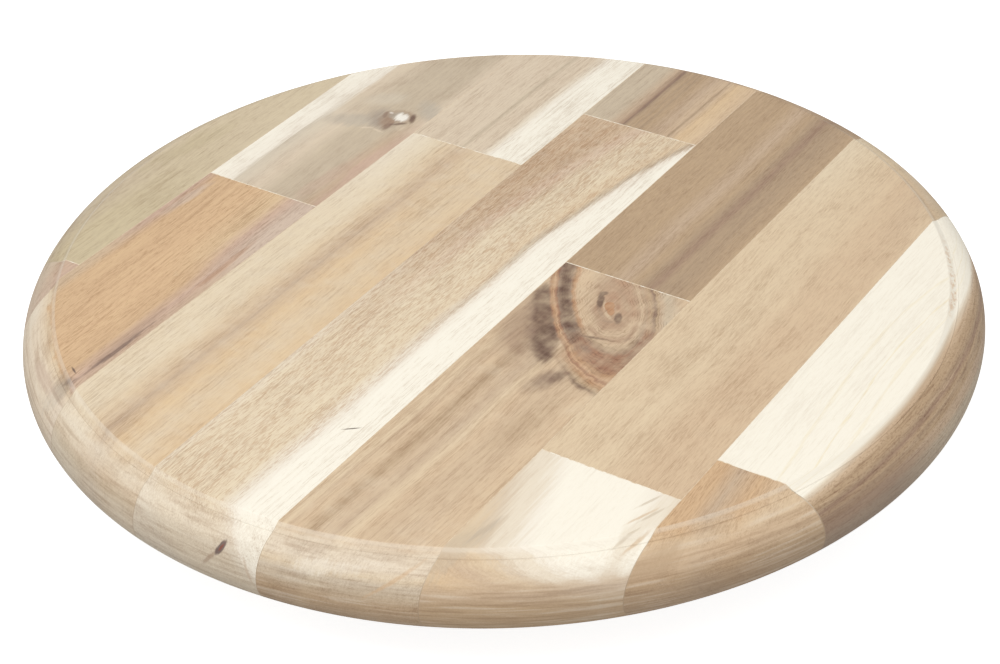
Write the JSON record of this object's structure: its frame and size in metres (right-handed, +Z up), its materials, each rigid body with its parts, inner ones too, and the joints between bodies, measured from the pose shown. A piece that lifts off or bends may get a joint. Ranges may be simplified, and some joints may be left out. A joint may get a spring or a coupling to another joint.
{
  "type": "lazy susan turntable",
  "caption": "Round board of glued light and dark acacia staves with a stepped, rounded edge, turning freely on a hidden ball bearing above a round wooden base on rubber feet.",
  "frame": {"origin": "on the turning axis, at the level of the rubber feet's undersides, which stand on the table", "axes": "+Z is up, along the turning axis; the staves run along Y; X is across the staves"},
  "size_m": [0.39, 0.39, 0.0542],
  "materials": {
    "acacia_olive": "matt oiled acacia, grey-olive heartwood",
    "acacia_cream": "matt oiled acacia, cream sapwood",
    "acacia_tan": "matt oiled acacia, tan heartwood with fine pores",
    "acacia_brown": "matt oiled acacia, brown heartwood with darker streaks",
    "base_wood": "matt oiled acacia",
    "foot_rubber": "moulded, matt black",
    "plated_steel": "pressed sheet, bright zinc plated",
    "ball_steel": "polished",
    "cage_plastic": "natural moulded plastic",
    "screw_steel": "zinc plated"
  },
  "bodies": {
    "base": {"base_ring": "base_wood", "rubber_foot_1": "foot_rubber", "rubber_foot_2": "foot_rubber", "rubber_foot_3": "foot_rubber", "rubber_foot_4": "foot_rubber", "lower_plate": "plated_steel", "base_screw_1": "screw_steel", "base_screw_2": "screw_steel", "base_screw_3": "screw_steel", "base_screw_4": "screw_steel"},
    "turntable": {"stave_1_near": "acacia_brown", "stave_1_far": "acacia_olive", "stave_2_near": "acacia_tan", "stave_2_far": "acacia_tan", "stave_3_near": "acacia_tan", "stave_3_far": "acacia_olive", "stave_4_near": "acacia_tan", "stave_4_far": "acacia_tan", "stave_5_near": "acacia_brown", "stave_5_far": "acacia_brown", "stave_6_near": "acacia_cream", "stave_6_far": "acacia_tan", "stave_7_near": "acacia_brown", "stave_7_far": "acacia_cream", "upper_plate": "plated_steel", "board_screw_1": "screw_steel", "board_screw_2": "screw_steel", "board_screw_3": "screw_steel", "board_screw_4": "screw_steel"},
    "cage": {"ball_cage": "cage_plastic", "bearing_ball_01": "ball_steel", "bearing_ball_02": "ball_steel", "bearing_ball_03": "ball_steel", "bearing_ball_04": "ball_steel", "bearing_ball_05": "ball_steel", "bearing_ball_06": "ball_steel", "bearing_ball_07": "ball_steel", "bearing_ball_08": "ball_steel", "bearing_ball_09": "ball_steel", "bearing_ball_10": "ball_steel", "bearing_ball_11": "ball_steel", "bearing_ball_12": "ball_steel"}
  },
  "joints": [
    {"name": "turntable_spin", "type": "hinge", "parent": "base", "child": "turntable", "pos_m": [0, 0, 0.0199], "axis": [0, 0, 1], "continuous": true},
    {"name": "cage_spin", "type": "hinge", "parent": "base", "child": "cage", "pos_m": [0, 0, 0.0199], "axis": [0, 0, 1], "continuous": true}
  ],
  "couplings": [
    {"joint": "cage_spin", "follows": "turntable_spin", "ratio": 0.5}
  ]
}
